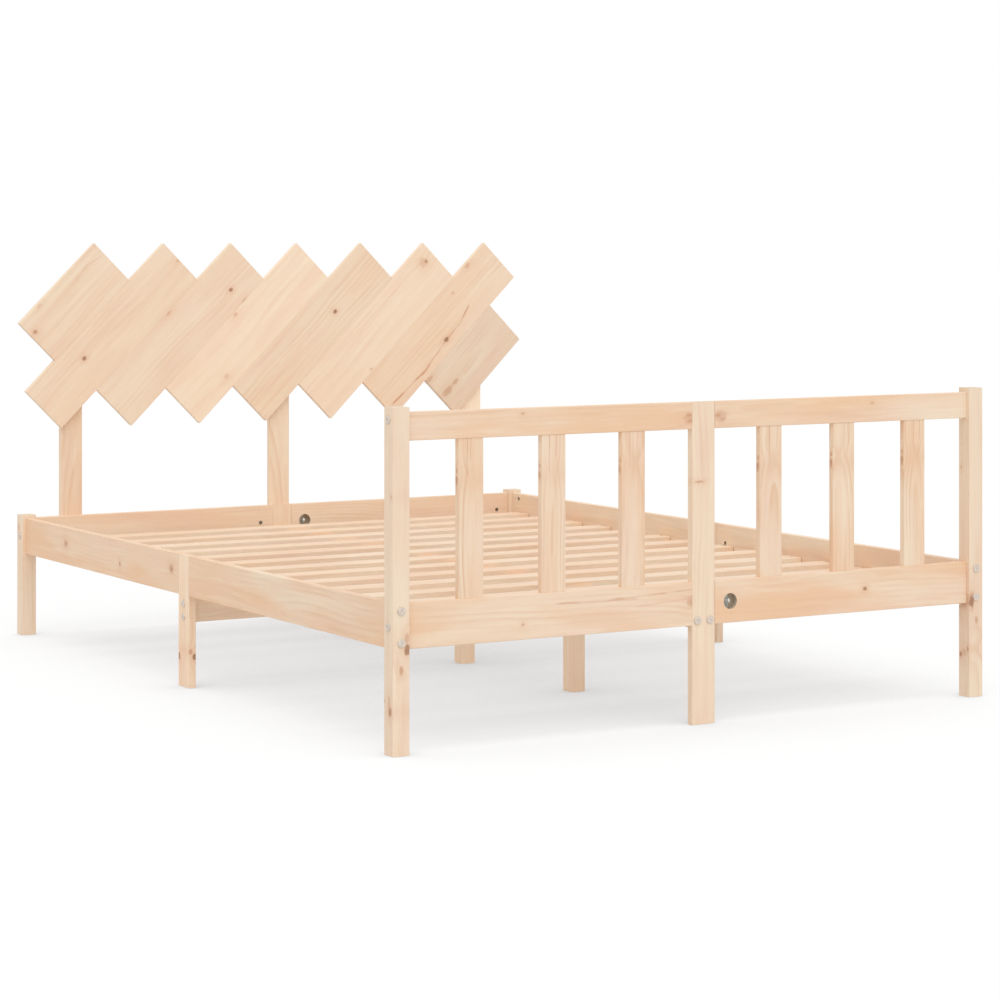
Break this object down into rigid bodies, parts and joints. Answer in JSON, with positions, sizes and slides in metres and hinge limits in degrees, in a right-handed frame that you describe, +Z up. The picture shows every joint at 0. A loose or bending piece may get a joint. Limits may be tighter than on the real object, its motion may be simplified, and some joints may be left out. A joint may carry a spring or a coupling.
{
  "type": "bed frame",
  "caption": "Pine double bed frame with a slatted foot end, bolted rails, a slatted base and a headboard of slanted planks with a zigzag outline.",
  "frame": {"origin": "on the floor, in the middle of the frame's width and of its whole length", "axes": "+Z up, +Y from the foot end to the headboard, +X to the right seen from the foot end"},
  "size_m": [1.461, 2.0648, 0.9894],
  "materials": {
    "frame_pine": "bare sanded pine",
    "plank_pine": "bare sanded pine",
    "support_pine": "bare sanded pine",
    "dowel_wood": "fluted beech",
    "bolt_steel": "satin",
    "zinc_steel": "zinc plated"
  },
  "bodies": {
    "root": {"barrel_nuts": "zinc_steel", "bed_slats_front": "support_pine", "bed_slats_rear": "support_pine", "centre_beam_front": "support_pine", "centre_beam_rear": "support_pine", "centre_leg_front": "support_pine", "centre_leg_middle": "support_pine", "centre_leg_rear": "support_pine", "corner_bolts": "bolt_steel", "cross_rail": "support_pine", "dowels": "dowel_wood", "foot_bottom_rail_left": "frame_pine", "foot_bottom_rail_right": "frame_pine", "foot_mid_post": "frame_pine", "foot_post_left": "frame_pine", "foot_post_right": "frame_pine", "foot_slat_1": "frame_pine", "foot_slat_2": "frame_pine", "foot_slat_3": "frame_pine", "foot_slat_4": "frame_pine", "foot_slat_5": "frame_pine", "foot_slat_6": "frame_pine", "foot_top_rail_left": "frame_pine", "foot_top_rail_right": "frame_pine", "half_moon_washers": "zinc_steel", "head_mid_leg": "frame_pine", "head_post_left": "frame_pine", "head_post_right": "frame_pine", "head_rail_left": "frame_pine", "head_rail_right": "frame_pine", "headboard_batten_left": "frame_pine", "headboard_batten_right": "frame_pine", "headboard_plank_1": "plank_pine", "headboard_plank_2": "plank_pine", "headboard_plank_3": "plank_pine", "headboard_plank_4": "plank_pine", "headboard_plank_5": "plank_pine", "headboard_plank_6": "plank_pine", "headboard_plank_7": "plank_pine", "headboard_plank_8": "plank_pine", "headboard_upright_left": "frame_pine", "headboard_upright_middle": "frame_pine", "headboard_upright_right": "frame_pine", "hex_nuts": "zinc_steel", "insert_nuts": "zinc_steel", "joint_rods": "bolt_steel", "leg_bolts": "bolt_steel", "leg_studs": "bolt_steel", "side_leg_left": "frame_pine", "side_leg_right": "frame_pine", "side_rail_left_front": "frame_pine", "side_rail_left_rear": "frame_pine", "side_rail_right_front": "frame_pine", "side_rail_right_rear": "frame_pine", "slat_ledge_left_front": "support_pine", "slat_ledge_left_rear": "support_pine", "slat_ledge_right_front": "support_pine", "slat_ledge_right_rear": "support_pine", "upright_bolts": "bolt_steel", "wood_screws": "bolt_steel"}
  },
  "joints": []
}
